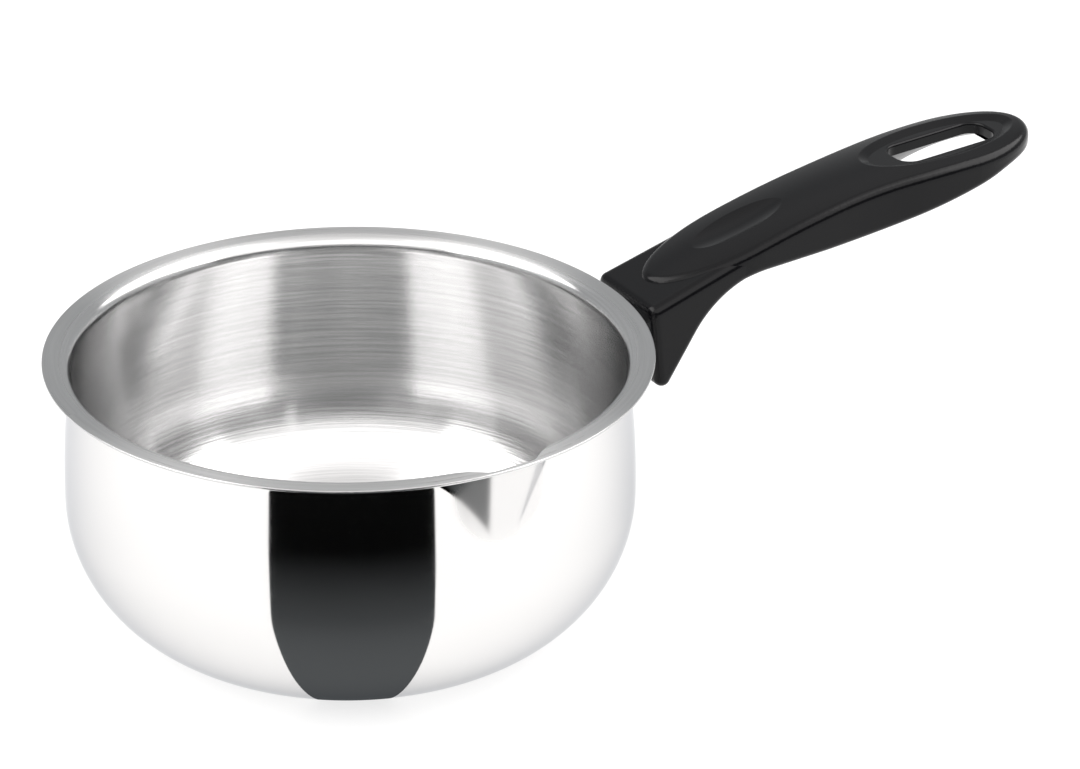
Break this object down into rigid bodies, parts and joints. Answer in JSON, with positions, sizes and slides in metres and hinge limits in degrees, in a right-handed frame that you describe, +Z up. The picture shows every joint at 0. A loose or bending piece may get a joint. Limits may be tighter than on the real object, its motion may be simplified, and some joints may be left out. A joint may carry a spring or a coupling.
{
  "type": "milk pan",
  "caption": "Small milk pan: a bellied steel bowl with a flat rim, a pressed pouring spout and a black plastic handle with a thumb rest and a hanging slot.",
  "frame": {"origin": "centre of the base's underside, on the surface that the pan stands on", "axes": "+Z up, +X along the handle away from the bowl, and the pouring spout points towards -Y"},
  "size_m": [0.3228, 0.174, 0.107],
  "materials": {
    "pan_steel": "mirror polished outside, satin with a circular brush inside",
    "bracket_steel": "satin",
    "handle_plastic": "semi-gloss moulded phenolic",
    "screw_steel": "bright zinc plate",
    "washer_steel": "plain zinc plate"
  },
  "bodies": {
    "root": {"pan_body": "pan_steel", "handle_bracket": "bracket_steel", "handle": "handle_plastic", "handle_screw": "screw_steel", "spring_washer": "washer_steel"}
  },
  "joints": []
}
